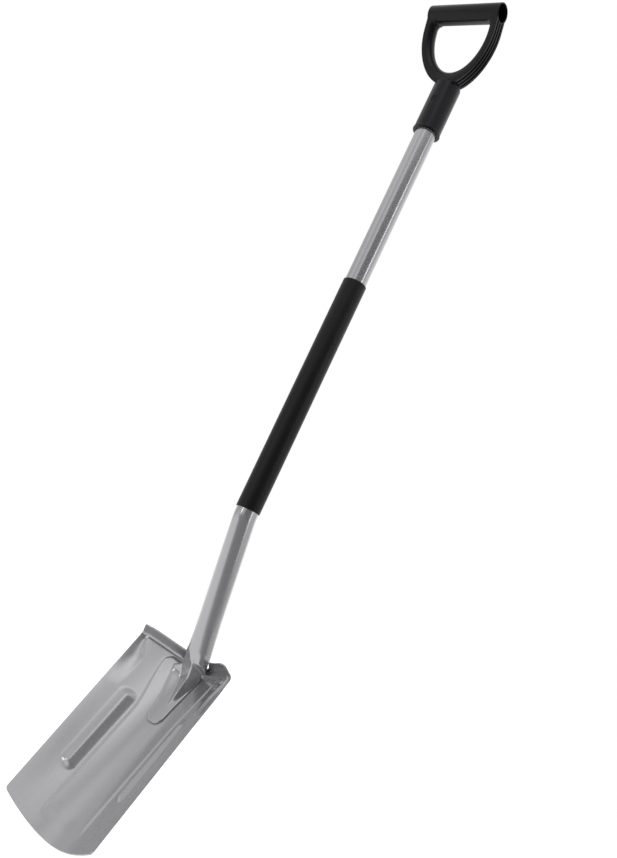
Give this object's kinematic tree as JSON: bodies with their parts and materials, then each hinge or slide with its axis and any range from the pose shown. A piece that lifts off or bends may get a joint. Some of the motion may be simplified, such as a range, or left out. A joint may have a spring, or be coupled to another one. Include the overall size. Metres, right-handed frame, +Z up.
{
  "type": "garden spade",
  "caption": "Digging spade: dished, ribbed steel blade with folded treads, cranked tubular shaft with a grip sleeve, and a moulded D handle.",
  "frame": {"origin": "centre of the overall box at its base, level with the lowest point of the cutting edge", "axes": "+Z up along the straight upper shaft, +X across the blade to the right seen from the hollow front, -Y the way the hollow front faces"},
  "size_m": [0.1702, 0.156, 1.291],
  "materials": {
    "blade_paint": "semi-gloss silver-grey metallic paint on pressed steel",
    "shaft_paint": "semi-gloss silver-grey metallic paint on steel tube",
    "sleeve_plastic": "satin black plastic sleeve",
    "handle_plastic": "lightly grained black moulded plastic",
    "screw_steel": "blackened steel"
  },
  "bodies": {
    "root": {"blade": "blade_paint", "shaft": "shaft_paint", "shaft_sleeve": "sleeve_plastic", "grip_handle": "handle_plastic", "handle_screw": "screw_steel"}
  },
  "joints": []
}
